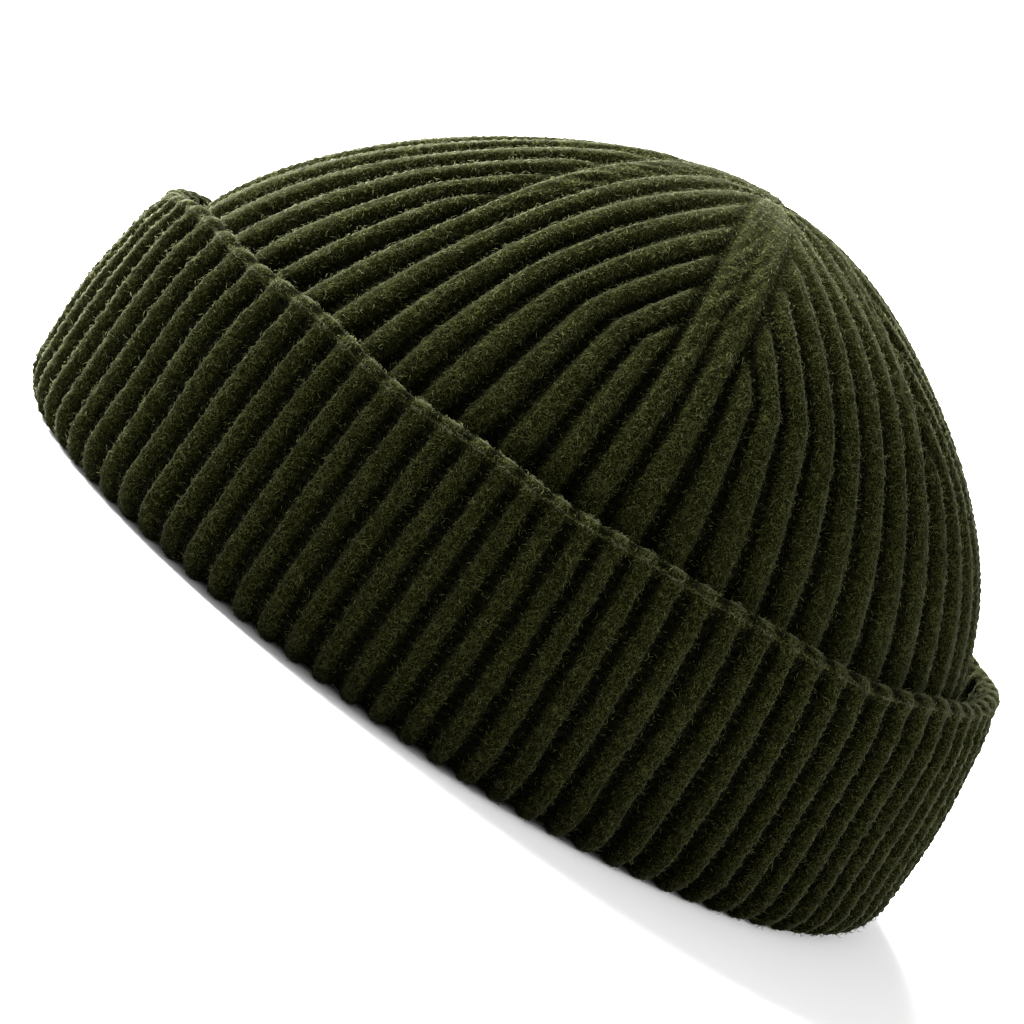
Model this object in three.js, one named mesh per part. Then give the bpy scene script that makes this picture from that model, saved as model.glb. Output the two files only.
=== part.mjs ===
// A fisherman beanie: a ribbed knitted dome inside a deep turned-up cuff.
// Millimetres, +Z up. It rests on its hem fold at Z = 0, with the front towards -Y.
import * as THREE from 'three';

// The cuff, measured over the tops of its ribs.
const cuffLength = 222;
const cuffWidth = 184;
const cuffHeight = 59;
const cuffThickness = 5.5;
const cuffRibs = 84;
const cuffRibDepth = 2.6;
// How far the cuff draws in from its widest row to its top edge, at the sides and at both ends.
const cuffDrawSides = 6.2;
const cuffDrawEnds = 4.7;
// The soft dip of the cuff's top edge beside the front's middle, on the -X side: the turn of its
// lowest point, how far it reaches to each side as a turn, and its depth.
const edgeDip = { turn: 0.56, reach: 0.14, depth: 8 };
// The rounded outer corner of the hem fold, and the foot inside it that carries the crown.
const foldRadius = 10;
const footHeight = 5;

// The crown. Its wall draws in between its seat in the cuff and the dome's foot.
const crownTop = 122.2;
const domeDrawSides = 8.4;
const domeDrawEnds = 7.9;
const crownThickness = 4.5;
const crownRibDepth = 2.3;
// Height at which the dome starts to round in, and how far its gather lies behind the middle.
const domeFoot = 52;
const gatherBack = 3.4;
// The crown narrows in rounds: in each one every half gore loses the rib beside its spine rib.
// The share of the dome's girth left where the first ribs end, and what one round takes off it.
const decreaseStart = 0.73;
const decreasePace = 0.115;
const decreaseRounds = 4;

// The head's plan: 2 is an ellipse, and less draws in the corners between the ends and the sides.
const planExponent = 1.86;
// Share by which the plan is wider behind the middle and narrower in front of it.
const backFullness = 0.08;
// The dome's section: higher values keep the sides upright for longer and the top rounder.
const sideExponent = 1.8;
const topExponent = 1.45;
// Share by which the dome rises more steeply at the back and less steeply in front.
const riseLean = 0.14;

// Gap between the crown and the cuff that carries it.
const seatGap = 0.3;

// One rib across its pitch, from valley to valley. Sink is a share of the rib's depth.
const ribShape = [
  { across: 0, sink: 1 },
  { across: 0.22, sink: 0.25 },
  { across: 0.5, sink: 0 },
  { across: 0.78, sink: 0.25 },
];
const pointsPerRib = ribShape.length;

// The outer corner of the fold. Rise and inset are shares of foldRadius.
const foldSections = [
  { rise: 0, inset: 0.5, relief: 0.35 },
  { rise: 0.22, inset: 0.15, relief: 0.8 },
  { rise: 1, inset: 0, relief: 1 },
];
// The cuff's outer wall. Rise is a share of cuffHeight, draw a share of how far it draws in.
const wallSections = [
  { rise: 0.5, draw: 0.15, relief: 1 },
  { rise: 0.9, draw: 0.8, relief: 1 },
];
// The cuff's rounded top edge. Drop and inset are shares of cuffThickness.
const edgeSections = [
  { drop: 0.15, inset: 0.16, relief: 0.6 },
  { drop: 0, inset: 0.48, relief: 0.3 },
];
// The same edge's inner side, which is smooth.
const innerEdge = { drop: 0.25, inset: 0.95 };
// The foot's lower inner edge. Rise and inset are shares of footHeight.
const footEdge = { rise: 0.35, inset: 0.3 };

// The crown's half gores in order round the girth, from the back's middle. Two spine ribs side by
// side cover each of the six decrease lines.
const halfGores = [
  { ribs: 6, spineLast: true },
  { ribs: 8, spineLast: true },
  { ribs: 8, spineLast: false },
  { ribs: 6, spineLast: false },
  { ribs: 6, spineLast: true },
  { ribs: 8, spineLast: true },
  { ribs: 8, spineLast: false },
  { ribs: 6, spineLast: false },
];
const crownRibs = halfGores.reduce((sum, gore) => sum + gore.ribs, 0);

// The dome's rows below the first decrease, as shares of the way up to it.
const domeRows = [0, 0.3, 0.56, 0.8, 1];
// Rows of the dome's smooth inner face, as shares of the way up to the apex.
const innerRows = [0, 0.22, 0.42, 0.62, 0.82];
// The last smooth row of the crown's wall inside the cuff, as a share of the way up to domeFoot.
const hiddenRow = 0.8;
// The gathered tip: rings at these shares of the last row's girth, and their share of the relief.
const tipRings = [
  { girth: 0.6, relief: 0.8 },
  { girth: 0.28, relief: 0.5 },
];
// How the dome's middle moves back as it rises: 1 is a straight lean, more leans later.
const gatherExponent = 1.5;

// How far the crown's outside stands in from the cuff's widest row at its seat.
const seatInset = cuffThickness + seatGap;
const domeHalfLength = cuffLength / 2 - seatInset - domeDrawEnds;
const domeHalfWidth = cuffWidth / 2 - seatInset - domeDrawSides;

// A power that keeps the sign of its base.
function signedPower(base, power) {
  return Math.sign(base) * Math.abs(base) ** power;
}

// A point on the plan, where turn 0 is at the back and 0.25 is on the +X side.
function planPoint(turn, halfLength, halfWidth) {
  const angle = turn * 2 * Math.PI;
  const power = 2 / planExponent;
  const along = signedPower(Math.cos(angle), power) * halfLength;
  const across = signedPower(Math.sin(angle), power) * halfWidth;
  return { x: across * (1 + backFullness * Math.cos(angle)), y: along };
}

// Turns for equal steps along the girth: returns a function from a share of the girth to a turn.
function girthTable(halfLength, halfWidth) {
  const samples = 720;
  const lengths = [0];
  let last = planPoint(0, halfLength, halfWidth);
  for (let i = 1; i <= samples; i += 1) {
    const next = planPoint(i / samples, halfLength, halfWidth);
    lengths.push(lengths[i - 1] + Math.hypot(next.x - last.x, next.y - last.y));
    last = next;
  }
  return (share) => {
    const whole = Math.floor(share);
    const target = (share - whole) * lengths[samples];
    let i = 1;
    while (i < samples && lengths[i] < target) {
      i += 1;
    }
    const step = (target - lengths[i - 1]) / (lengths[i] - lengths[i - 1]);
    return whole + (i - 1 + step) / samples;
  };
}

const cuffTurn = girthTable(cuffLength / 2, cuffWidth / 2);
const crownTurn = girthTable(domeHalfLength, domeHalfWidth);

// A closed mesh put together from rings of points. Each point has a place that orders it.
class Shell {
  constructor() {
    this.positions = [];
    this.indices = [];
  }

  // Adds a ring of { x, y, z, place } and returns its entries with their vertex numbers.
  ring(points) {
    return points.map((point) => {
      this.positions.push(point.x, point.y, point.z);
      return { vertex: this.positions.length / 3 - 1, place: point.place };
    });
  }

  // Joins two rings whose places run over the same span, taking the nearer next point each time.
  join(lower, upper, span) {
    let i = 0;
    let j = 0;
    const next = (ring, k) => (k < ring.length ? ring[k].place : ring[0].place + span);
    while (i < lower.length || j < upper.length) {
      const a = lower[i % lower.length].vertex;
      const b = upper[j % upper.length].vertex;
      const stepLower = j >= upper.length || (i < lower.length
        && next(lower, i + 1) <= next(upper, j + 1) + 1e-9);
      if (stepLower) {
        i += 1;
        this.indices.push(lower[i % lower.length].vertex, a, b);
      } else {
        j += 1;
        this.indices.push(upper[j % upper.length].vertex, a, b);
      }
    }
  }

  // Closes a ring with a fan to one point.
  close(ring, point, facesUp) {
    this.positions.push(point.x, point.y, point.z);
    const tip = this.positions.length / 3 - 1;
    ring.forEach((entry, i) => {
      const after = ring[(i + 1) % ring.length].vertex;
      this.indices.push(...(facesUp ? [after, entry.vertex, tip] : [entry.vertex, after, tip]));
    });
  }

  mesh(name, material) {
    const geometry = new THREE.BufferGeometry();
    geometry.setAttribute('position', new THREE.Float32BufferAttribute(this.positions, 3));
    geometry.setIndex(this.indices);
    geometry.computeVertexNormals();
    const mesh = new THREE.Mesh(geometry, material);
    mesh.name = name;
    return mesh;
  }
}

// How far a point of the cuff is lowered by the dip in its top edge.
function dipAt(turn, height) {
  const offset = Math.min(Math.abs(turn - edgeDip.turn) / edgeDip.reach, 1);
  const climb = Math.max((height - foldRadius) / (cuffHeight - foldRadius), 0);
  return edgeDip.depth * Math.cos(offset * Math.PI / 2) ** 2 * climb ** 1.5;
}

// A ring of the cuff. Inset is measured inwards from its widest row, and draw is the share of the
// cuff's drawing in that the ring has. Ribbed rings follow ribShape.
function cuffRing({ inset = 0, draw = 0, height, relief = 0 }) {
  const shape = relief > 0 ? ribShape : [{ across: 0, sink: 0 }];
  const points = [];
  for (let rib = 0; rib < cuffRibs; rib += 1) {
    for (const { across, sink } of shape) {
      const place = (rib + across) / cuffRibs;
      const turn = cuffTurn(place);
      const ends = Math.cos(turn * 2 * Math.PI) ** 2;
      const drawn = draw * THREE.MathUtils.lerp(cuffDrawSides, cuffDrawEnds, ends);
      const depth = inset + drawn + sink * relief * cuffRibDepth;
      const plan = planPoint(turn, cuffLength / 2 - depth, cuffWidth / 2 - depth);
      points.push({ ...plan, z: height - dipAt(turn, height), place });
    }
  }
  return points;
}

// The turned-up cuff with the fold that the hat rests on, from the inner edge of the flat
// underside round the outside and over the top edge, and down the inside to the foot.
function cuffShell(material) {
  const shell = new Shell();
  const footInset = seatInset + crownThickness;
  const smoothRings = [
    {
      inset: innerEdge.inset * cuffThickness,
      draw: 1,
      height: cuffHeight - innerEdge.drop * cuffThickness,
    },
    { inset: cuffThickness, height: foldRadius },
    { inset: cuffThickness, height: footHeight },
    { inset: footInset, height: footHeight },
    { inset: footInset, height: footEdge.rise * footHeight },
    { inset: footInset - footEdge.inset * footHeight, height: 0 },
  ].map((row) => shell.ring(cuffRing(row)));
  const ribbedRings = [
    ...foldSections.map((row) => ({
      inset: row.inset * foldRadius,
      height: row.rise * foldRadius,
      relief: row.relief,
    })),
    ...wallSections.map((row) => ({
      draw: row.draw,
      height: row.rise * cuffHeight,
      relief: row.relief,
    })),
    ...edgeSections.map((row) => ({
      inset: row.inset * cuffThickness,
      draw: 1,
      height: cuffHeight - row.drop * cuffThickness,
      relief: row.relief,
    })),
  ].map((row) => shell.ring(cuffRing(row)));
  const loop = [...ribbedRings, ...smoothRings];
  loop.forEach((ring, i) => shell.join(ring, loop[(i + 1) % loop.length], 1));
  return shell.mesh('cuff', material);
}

// The dome's section at a climb from 0 at its foot to 1 at its apex.
function domeSection(turn, climb) {
  const angle = climb * Math.PI / 2;
  const power = topExponent * (1 + riseLean * Math.cos(turn * 2 * Math.PI));
  return {
    girth: Math.cos(angle) ** (2 / sideExponent),
    rise: Math.sin(angle) ** (2 / power),
  };
}

// The climb at which the dome has a given share of its girth.
function climbAtGirth(girth) {
  return Math.acos(girth ** (sideExponent / 2)) / (Math.PI / 2);
}

// How much of a depth measured square to the dome goes inwards, and how much goes down.
function domeLean(turn, climb) {
  const step = 0.01;
  const below = domeSection(turn, Math.max(climb - step, 0));
  const above = domeSection(turn, Math.min(climb + step, 1));
  const inwards = (above.rise - below.rise) * (crownTop - domeFoot);
  const down = (below.girth - above.girth) * (domeHalfLength + domeHalfWidth) / 2;
  const length = Math.hypot(inwards, down);
  return { inwards: inwards / length, down: down / length };
}

// A point of the dome, sunk by a depth square to its surface.
function domePoint(turn, climb, depth) {
  const { girth, rise } = domeSection(turn, climb);
  const lean = domeLean(turn, climb);
  const inset = depth * lean.inwards;
  const plan = planPoint(
    turn,
    Math.max(domeHalfLength * girth - inset, 0),
    Math.max(domeHalfWidth * girth - inset, 0),
  );
  return {
    x: plan.x,
    y: plan.y + gatherBack * rise ** gatherExponent,
    z: domeFoot + rise * (crownTop - domeFoot) - depth * lean.down,
  };
}

// A ribbed row of the crown in which every half gore has lost the same number of ribs. Place
// counts ribs round the full girth, and leaves out the lost ones beside the spine rib.
function crownRow(lost, pointAt) {
  const total = crownRibs - lost * halfGores.length;
  const points = [];
  let start = 0;
  let startPlace = 0;
  for (const { ribs, spineLast } of halfGores) {
    const width = ribs - lost;
    const spineStart = spineLast ? width - 1 : 1;
    for (let k = 0; k < width * pointsPerRib; k += 1) {
      const { across, sink } = ribShape[k % pointsPerRib];
      const column = Math.floor(k / pointsPerRib) + across;
      const turn = crownTurn((start + column) / total);
      const place = startPlace + column + (column > spineStart ? lost : 0);
      points.push({ ...pointAt(turn, sink), place });
    }
    start += width;
    startPlace += ribs;
  }
  return points;
}

// A smooth ring of the crown with one column for each rib.
function smoothRow(pointAt) {
  return Array.from({ length: crownRibs }, (unused, rib) => (
    { ...pointAt(crownTurn(rib / crownRibs)), place: rib }
  ));
}

// The crown's wall inside the cuff, at a share of the way from the foot's top to the dome.
function wallPoint(turn, climb, depth) {
  const halfLength = THREE.MathUtils.lerp(cuffLength / 2 - seatInset, domeHalfLength, climb);
  const halfWidth = THREE.MathUtils.lerp(cuffWidth / 2 - seatInset, domeHalfWidth, climb);
  const height = THREE.MathUtils.lerp(footHeight + seatGap, domeFoot, climb);
  return { ...planPoint(turn, halfLength - depth, halfWidth - depth), z: height };
}

// The ribbed dome and its wall, from the seat up the outside to the apex and down the inside.
function crownShell(material) {
  const shell = new Shell();
  const domeAt = (climb, depth) => (turn, sink) => domePoint(turn, climb, sink * depth);
  const wallAt = (climb, depth) => (turn) => wallPoint(turn, climb, depth);
  const seat = shell.ring(smoothRow(wallAt(0, 0)));
  let row = shell.ring(smoothRow(wallAt(hiddenRow, crownRibDepth / 2)));
  shell.join(seat, row, crownRibs);
  const addRow = (points) => {
    const next = shell.ring(points);
    shell.join(row, next, crownRibs);
    row = next;
  };
  for (const share of domeRows) {
    addRow(crownRow(0, domeAt(share * climbAtGirth(decreaseStart), crownRibDepth)));
  }
  let girth = decreaseStart;
  for (let lost = 1; lost <= decreaseRounds; lost += 1) {
    girth = decreaseStart - lost * decreasePace;
    addRow(crownRow(lost, domeAt(climbAtGirth(girth), crownRibDepth)));
  }
  for (const ring of tipRings) {
    const depth = ring.relief * crownRibDepth;
    addRow(crownRow(decreaseRounds, domeAt(climbAtGirth(girth * ring.girth), depth)));
  }
  shell.close(row, domePoint(0, 1, 0), true);
  let inner = shell.ring(smoothRow(wallAt(0, crownThickness)));
  shell.join(inner, seat, crownRibs);
  for (const climb of innerRows) {
    const next = shell.ring(smoothRow((turn) => domePoint(turn, climb, crownThickness)));
    shell.join(next, inner, crownRibs);
    inner = next;
  }
  shell.close(inner, domePoint(0, 1, crownThickness), false);
  return shell.mesh('crown', material);
}

const woolKnit = { color: 0x33371f, roughness: 0.95, metalness: 0 };

const group = new THREE.Group();
group.add(crownShell(new THREE.MeshStandardMaterial(woolKnit)));
group.add(cuffShell(new THREE.MeshStandardMaterial(woolKnit)));

export default group;
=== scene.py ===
import bpy
import numpy as np
from bpy.props import FloatProperty, FloatVectorProperty, IntProperty, PointerProperty
from mathutils import Matrix, Vector


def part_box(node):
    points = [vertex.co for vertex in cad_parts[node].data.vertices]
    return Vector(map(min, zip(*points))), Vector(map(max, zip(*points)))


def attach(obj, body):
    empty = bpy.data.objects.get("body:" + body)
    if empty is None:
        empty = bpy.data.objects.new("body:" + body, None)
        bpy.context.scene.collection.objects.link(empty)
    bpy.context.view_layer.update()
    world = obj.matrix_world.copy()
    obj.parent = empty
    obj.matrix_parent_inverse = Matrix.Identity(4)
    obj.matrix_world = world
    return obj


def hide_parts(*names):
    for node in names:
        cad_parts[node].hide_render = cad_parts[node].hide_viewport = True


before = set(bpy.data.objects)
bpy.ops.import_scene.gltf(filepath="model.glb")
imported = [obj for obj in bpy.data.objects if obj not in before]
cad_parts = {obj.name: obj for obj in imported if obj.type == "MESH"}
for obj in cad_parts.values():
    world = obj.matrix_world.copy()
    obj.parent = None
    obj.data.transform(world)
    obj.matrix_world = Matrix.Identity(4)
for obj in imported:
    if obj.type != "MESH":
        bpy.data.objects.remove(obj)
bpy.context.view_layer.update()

bl_info = {
    "name": "Fisherman beanie",
    "version": (1, 0, 0),
    "blender": (4, 5, 0),
    "location": "3D View > Sidebar > Beanie",
    "description": "Dresses the beanie's crown and cuff as brushed rib knit and sets its stage",
    "category": "Object",
}

TAU = 2 * np.pi
CUFF_LOW, CUFF_HIGH = (np.array(corner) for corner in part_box("cuff"))
CROWN_LOW, CROWN_HIGH = (np.array(corner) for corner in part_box("crown"))

# The head's plan: 2 is an ellipse, and less draws in the corners between ends and sides.
PLAN_EXPONENT = 1.86
# Share by which the plan is wider behind the middle and narrower in front of it.
BACK_FULLNESS = 0.08
# The dome's section, as powers of its cosine and sine.
SIDE_EXPONENT = 1.8
TOP_EXPONENT = 1.45
# Share by which the dome rises more steeply at the back and less steeply in front.
RISE_LEAN = 0.14
GATHER_EXPONENT = 1.5
# The crown's half gores in order round the girth, from the back's middle: their ribs, and if the
# spine rib beside which ribs end is the half gore's last one. Two spine ribs cover each line.
HALF_GORES = (
    {"ribs": 6, "spine_last": True},
    {"ribs": 8, "spine_last": True},
    {"ribs": 8, "spine_last": False},
    {"ribs": 6, "spine_last": False},
    {"ribs": 6, "spine_last": True},
    {"ribs": 8, "spine_last": True},
    {"ribs": 8, "spine_last": False},
    {"ribs": 6, "spine_last": False},
)
CROWN_RIBS = sum(gore["ribs"] for gore in HALF_GORES)

# A rib's section: the width of the line down its middle as a share of half a pitch, how many
# rows its stitch legs lean from its middle to its side, and a power for the valley's bumps.
GROOVE_WIDTH = 0.13
LEG_LEAN = 0.75
BUMP_POWER = 3

# How the cuff's drawing in grows with its height, as a power.
DRAW_POWER = 2.6
# How far below the cuff's edge its shoulder and the shallower ribs of the edge begin.
SHOULDER_DROP = 0.01
EDGE_FADE = 0.003
# Share of the rib depth at the edge's foot and on its top, and mesh rows over it and behind it.
EDGE_FOOT_DEPTH = 0.45
EDGE_TOP_DEPTH = 0.15
BEND_ROWS = 17
BACK_ROWS = 12
# How far the edge line lies below the top, as a share of the cuff's wall.
EDGE_LINE_DROP = 0.3
# Where the relief lies at the bound edge, over 1 so that the material finds it, and how far from
# the edge line the chain of stitches and the tufts of the rib ends are full and have faded.
EDGE_RELIEF = 1.3
EDGE_CHAIN = {"full": 0.0001, "gone": 0.0008}
EDGE_TUFTS = {"full": 0.0003, "gone": 0.002, "share": 0.7}
# Unevenness of the rib depth and of the stitch rows, as shares of the depth and of a row.
CUFF_UNEVEN = 0.12
CROWN_UNEVEN = 0.16
ROW_JITTER = 0.18
# Climbs between which the ribs flatten towards the tip, and the share that they lose.
TIP_FLATTENING = {"start": 0.45, "end": 0.97, "share": 0.7}
# The same for the painted shade in the valleys, which lessens towards the tip, and the relief that it
# nears.
TIP_VALLEY_SHADE = {"start": 0.4, "end": 0.95, "share": 0.6, "relief": 0.85}
# The felted line between two spine ribs: its relief, and the share by which it fills the valley.
SPINE_FELT = {"relief": 0.75, "share": 0.6}

# Layers of strands in the cloth's colour.
STRAND_LAYERS = (
    {"cells_per_metre": 400.0, "seed": 3.0, "fineness": 46.0},
    {"cells_per_metre": 560.0, "seed": 17.0, "fineness": 40.0},
    {"cells_per_metre": 780.0, "seed": 41.0, "fineness": 34.0},
)
# The felt under the strands, its height over theirs, and how light the edge is between strands.
FELT_SCALE = 330.0
FELT_HEIGHT = 1.5
EDGE_GROUND = 0.1
# Painted sheen where fibres are seen from the side: powers of the facing and the relief, and its
# strength.
PAINTED_SHEEN = {"facing_power": 3.2, "relief_power": 2.2, "strength": 0.95}

# The nap: its two layers, the weights of its fibres everywhere and on the edge beside the relief
# as a weight, how much the fibres vary, and the shares of the cuff's height where they begin.
NAP_LAYERS = (
    {"label": "short", "seed": 0, "stretch": 0.75},
    {"label": "long", "seed": 10, "stretch": 1.3},
)
NAP_WEIGHTS = {"everywhere": 0.25, "edge": 3}
NAP_SPREAD = {"turn": (-1.1, 1.1), "length": (0.45, 1.25), "lift": (0.3, 1.0), "tip": (-0.35, 0.5)}
NAP_STARTS = {"crown": 0.85, "behind the cuff": 0.88}

# The floor's half side, and its grey for the camera and for the light that it throws back.
FLOOR_HALF = 8.0
FLOOR_SEEN = 0.93
FLOOR_BOUNCE = 0.36
LIGHTS = (
    {"name": "key", "place": (-2.8, -2.3, 2.4), "size": 3.4},
    {"name": "fill", "place": (0.6, 3.2, 1.3), "size": 2.0},
)


def smooth(low, high, value):
    """Smoothstep: 0 below low, 1 above high, 3t^2 - 2t^3 between them."""
    t = np.clip((value - low) / (high - low), 0, 1)
    return t * t * (3 - 2 * t)


def mix(a, b, share):
    """Straight blend from a to b."""
    return a + (b - a) * share


def ripple(turn, climb, seed, around=(2, 7), along=2.0, waves=6):
    """Smooth noise near -1 to 1 that closes round the girth: a sum of cosines whose wave numbers
    round the girth are whole, with seeded random slopes and phases."""
    rng = np.random.default_rng(seed)
    total = 0.0
    for _ in range(waves):
        count = rng.integers(around[0], around[1] + 1)
        slope = rng.uniform(-along, along)
        phase = rng.uniform(0, TAU)
        total = total + np.cos(TAU * (count * turn + slope * climb) + phase)
    return total / np.sqrt(waves)


def signed_power(base, power):
    """The power of the base's size with the base's own sign."""
    return np.sign(base) * np.abs(base) ** power


def plan_point(turn, half_length, half_width):
    """Superellipse: y is the half length times cos to the power 2/n, x the half width times sin
    to the same power, and x is widened towards the back. Turn 0 is the back, 0.25 the +X side."""
    cosine, sine = np.cos(TAU * turn), np.sin(TAU * turn)
    power = 2 / PLAN_EXPONENT
    x = signed_power(sine, power) * half_width * (1 + BACK_FULLNESS * cosine)
    return x, signed_power(cosine, power) * half_length


def half_sizes(low, high):
    """The plan's half length and half width that give a box of these corners."""
    turns = np.linspace(0, 1, 721)
    widest = plan_point(turns, 1.0, 1.0)[0].max()
    return (high[1] - low[1]) / 2, (high[0] - low[0]) / 2 / widest


def girth_turn(share, half_length, half_width):
    """Turns for shares of the girth, by inverting the running length round the plan."""
    turns = np.linspace(0, 1, 1441)
    x, y = plan_point(turns, half_length, half_width)
    length = np.concatenate([[0], np.cumsum(np.hypot(np.diff(x), np.diff(y)))])
    whole = np.floor(share)
    return whole + np.interp(share - whole, length / length[-1], turns)


def running_length(a, b):
    """Running length along a section given as two arrays."""
    return np.concatenate([[0], np.cumsum(np.hypot(np.diff(a), np.diff(b)))])


def rib_relief(across, course, rib_share, knit):
    """Height of the knit from valley (0) to rib top (1). Across runs 0 to 1 over a pitch from
    valley to valley, course counts stitch rows. A round rib whose section is a rounded arch, a
    groove down its middle, chevrons where the stitch legs lean, and short cross bumps on the
    valley floor."""
    side = np.abs(2 * across - 1)
    arch = np.maximum(1 - (side / rib_share) ** 2, 0) ** knit.arch
    groove = -knit.groove * np.exp(-((side / GROOVE_WIDTH) ** 2)) * arch
    chevron = np.cos(TAU * (course + LEG_LEAN * side / rib_share))
    legs = knit.stitch_relief * chevron * arch * smooth(0.02, 0.2, side)
    bumps = knit.purl_relief * (0.5 + 0.5 * np.cos(TAU * (course + 0.5))) * (1 - arch) ** BUMP_POWER
    return arch + groove + legs + bumps


def loop_normals(inset, height):
    """Outward normals of a closed section, as an inset part and a height part. The section runs
    up its outside, so outward is to the left of inset growing and height growing."""
    step_inset = np.roll(inset, -1) - np.roll(inset, 1)
    step_height = np.roll(height, -1) - np.roll(height, 1)
    length = np.hypot(step_inset, step_height)
    return -step_height / length, step_inset / length


def new_mesh(name, points, quads, tris, relief):
    """A mesh from arrays of points, quads and triangles, smooth shaded, with a relief attribute."""
    used, flat = np.unique(np.concatenate([quads.ravel(), tris.ravel()]), return_inverse=True)
    points, relief = points[used], relief[used]
    mesh = bpy.data.meshes.new(name)
    mesh.vertices.add(len(points))
    mesh.vertices.foreach_set("co", points.astype(np.float32).ravel())
    mesh.loops.add(len(flat))
    mesh.loops.foreach_set("vertex_index", flat.astype(np.int32))
    sizes = np.concatenate([np.full(len(quads), 4), np.full(len(tris), 3)]).astype(np.int32)
    mesh.polygons.add(len(sizes))
    starts = np.concatenate([[0], np.cumsum(sizes)[:-1]])
    mesh.polygons.foreach_set("loop_start", starts.astype(np.int32))
    mesh.polygons.foreach_set("use_smooth", np.ones(len(sizes), dtype=bool))
    mesh.update(calc_edges=True)
    layer = mesh.attributes.new("relief", "FLOAT", "POINT")
    layer.data.foreach_set("value", relief.astype(np.float32))
    mesh.validate()
    obj = bpy.data.objects.new(name, mesh)
    bpy.context.scene.collection.objects.link(obj)
    return obj


def grid_faces(index, closed_rows):
    """Faces of a grid of vertex numbers whose columns close round. Cells with a collapsed edge
    become triangles, and cells with two are dropped."""
    upper = np.roll(index, -1, axis=0) if closed_rows else index[1:]
    lower = index if closed_rows else index[:-1]
    a, b = lower, np.roll(lower, -1, axis=1)
    d, c = upper, np.roll(upper, -1, axis=1)
    cells = np.stack([b, a, d, c], axis=-1).reshape(-1, 4)
    flat_low = cells[:, 0] == cells[:, 1]
    flat_high = cells[:, 2] == cells[:, 3]
    quads = cells[~flat_low & ~flat_high]
    tris = np.concatenate([cells[~flat_low & flat_high][:, :3], cells[flat_low & ~flat_high][:, 1:]])
    return quads, tris


def cuff_section(knit):
    """The cuff's closed section in metres, from the inner edge of its flat underside round the
    fold, up the outside, over the top edge and down the inside to the foot. Returns inset from
    the widest row, height, how strong the relief is, how far it has changed to the back, and the
    share of the cuff's drawing in."""
    height, step = CUFF_HIGH[2], knit.row_step
    wall, foot = wall_thickness(knit), CROWN_LOW[2] - knit.gap
    inner = wall + knit.gap + knit.crown_wall
    fold, radius = knit.fold_radius, wall / 2

    def rows(length):
        return max(int(round(length / step)), 2)

    turn = np.linspace(0, np.pi / 2, rows(1.25 * fold), endpoint=False)
    corner = (knit.fold_reach * (1 - np.sin(turn)), fold * (1 - np.cos(turn)))
    climb = np.linspace(fold, height - radius, rows(height - radius - fold), endpoint=False)
    face = (knit.shoulder * smooth(height - SHOULDER_DROP, height - radius, climb), climb)
    drawn = ((height - radius) / height) ** DRAW_POWER
    bend = np.linspace(0, np.pi, BEND_ROWS, endpoint=False)
    edge = (knit.shoulder + radius * (1 - np.cos(bend)), height - radius * (1 - np.sin(bend)))
    down = np.linspace(0, 1, BACK_ROWS, endpoint=False) ** 1.6
    back = (wall + knit.shoulder * (1 - down), mix(height - radius, fold, down))
    ledge = (np.array([wall, wall, inner, inner]), np.array([fold, foot, foot, 0.35 * foot]))
    under = np.linspace(inner - 0.3 * foot, knit.fold_reach, 4, endpoint=False)
    parts = [(under, 0 * under), corner, face, edge, back, ledge]
    fade = mix(1, EDGE_FOOT_DEPTH, smooth(height - radius - EDGE_FADE, height - radius, climb))
    relief = [0.5 + 0 * under, mix(0.5, 1.0, smooth(0, 0.6, turn)), fade,
              mix(EDGE_FOOT_DEPTH, EDGE_TOP_DEPTH, np.sin(bend)),
              EDGE_FOOT_DEPTH * (1 - smooth(0.1, 0.5, down)), np.zeros(4)]
    turned = [0 * under, 0 * turn, 0 * climb, smooth(1.7, 2.8, bend), 1 + 0 * down, np.ones(4)]
    draw = [0 * under, 0 * turn, (climb / height) ** DRAW_POWER, drawn + 0 * bend,
            drawn * (1 - down), np.zeros(4)]
    inset = np.concatenate([part[0] for part in parts])
    heights = np.concatenate([part[1] for part in parts])
    return inset, heights, np.concatenate(relief), np.concatenate(turned), np.concatenate(draw)


def wall_thickness(knit):
    """The cuff's wall: what lies between the two nodes' boxes, less the gap at the crown's seat."""
    return (CUFF_HIGH[1] - CUFF_LOW[1] - CROWN_HIGH[1] + CROWN_LOW[1]) / 2 - knit.gap


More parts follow.
